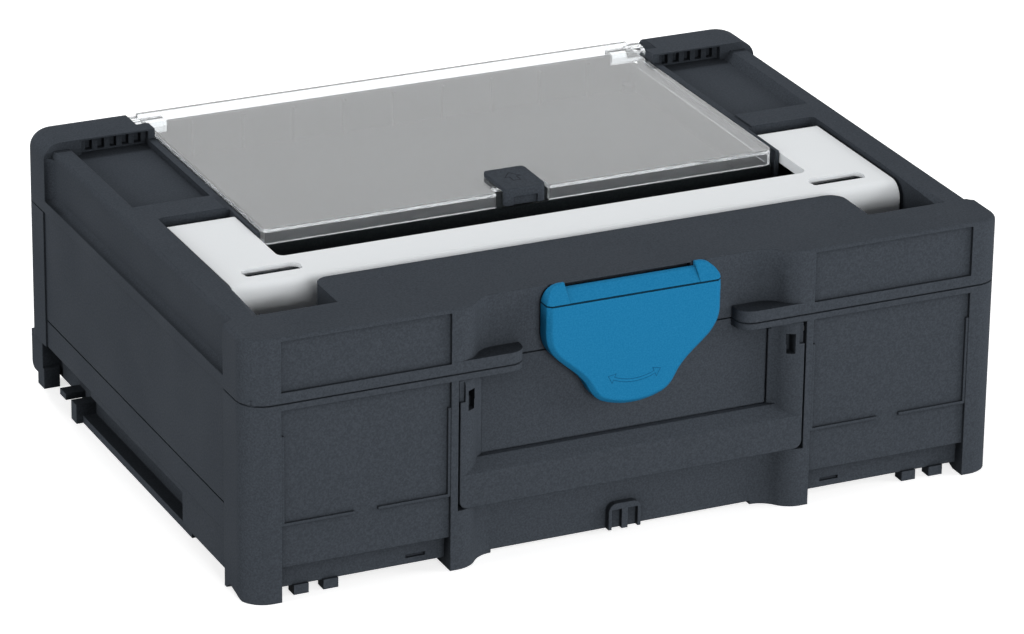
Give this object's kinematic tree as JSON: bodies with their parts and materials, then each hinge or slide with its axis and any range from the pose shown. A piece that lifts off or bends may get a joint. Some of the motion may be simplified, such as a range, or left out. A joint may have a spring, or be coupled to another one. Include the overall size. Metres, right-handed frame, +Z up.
{
  "type": "stackable tool case",
  "caption": "Low stackable tool case: hinged lid with clear-covered compartment, flush carrying handle, rotary front latch and a folding bail handle.",
  "frame": {"origin": "middle of the base, on the plane of the feet", "axes": "+X across the front, along the longest side; -Y out of the front with the rotary latch; +Z up"},
  "size_m": [0.396, 0.296, 0.137],
  "materials": {
    "body_plastic": "fine moulded grain",
    "tray_plastic": "fine moulded grain",
    "clear_plastic": "clear moulded polycarbonate",
    "white_plastic": "satin moulded plastic",
    "blue_plastic": "satin moulded plastic",
    "steel": "plain steel"
  },
  "bodies": {
    "box": {"box_tub": "body_plastic", "lid_hinge_pin_left": "steel", "lid_hinge_pin_right": "steel", "front_handle_pin_left": "steel", "front_handle_pin_right": "steel"},
    "lid": {"lid_frame": "body_plastic", "compartment_tray": "tray_plastic", "tray_screws": "steel", "top_handle_pin_left": "steel", "top_handle_pin_right": "steel", "cover_hinge_pin_left": "steel", "cover_hinge_pin_right": "steel"},
    "latch": {"rotary_latch": "blue_plastic", "latch_hook_plate": "steel", "latch_pivot": "steel", "latch_wave_washer": "steel", "latch_clip": "steel", "latch_screws": "steel"},
    "carry_handle": {"top_handle": "white_plastic"},
    "cover": {"clear_cover": "clear_plastic", "cover_latch_spring": "steel"},
    "slide_latch": {"cover_latch": "body_plastic"},
    "bail": {"front_handle": "body_plastic"}
  },
  "joints": [
    {"name": "lid_hinge", "type": "hinge", "parent": "box", "child": "lid", "pos_m": [0, 0.145, 0.1002], "axis": [-1, 0, 0], "range_deg": [0, 95]},
    {"name": "latch_turn", "type": "hinge", "parent": "lid", "child": "latch", "pos_m": [0, -0.137, 0.108], "axis": [0, 1, 0], "range_deg": [-180, 180]},
    {"name": "handle_swing", "type": "hinge", "parent": "lid", "child": "carry_handle", "pos_m": [0, 0.0035, 0.1245], "axis": [-1, 0, 0], "range_deg": [0, 95]},
    {"name": "cover_hinge", "type": "hinge", "parent": "lid", "child": "cover", "pos_m": [0, 0.141, 0.128], "axis": [-1, 0, 0], "range_deg": [0, 100]},
    {"name": "cover_latch_slide", "type": "slide", "parent": "cover", "child": "slide_latch", "axis": [0, 1, 0], "range_m": [0, 0.0045], "stiffness_N_per_m": 400, "deforming": ["cover_latch_spring"]},
    {"name": "bail_swing", "type": "hinge", "parent": "box", "child": "bail", "pos_m": [0, -0.1436, 0.0922], "axis": [-1, 0, 0], "range_deg": [0, 92]}
  ]
}
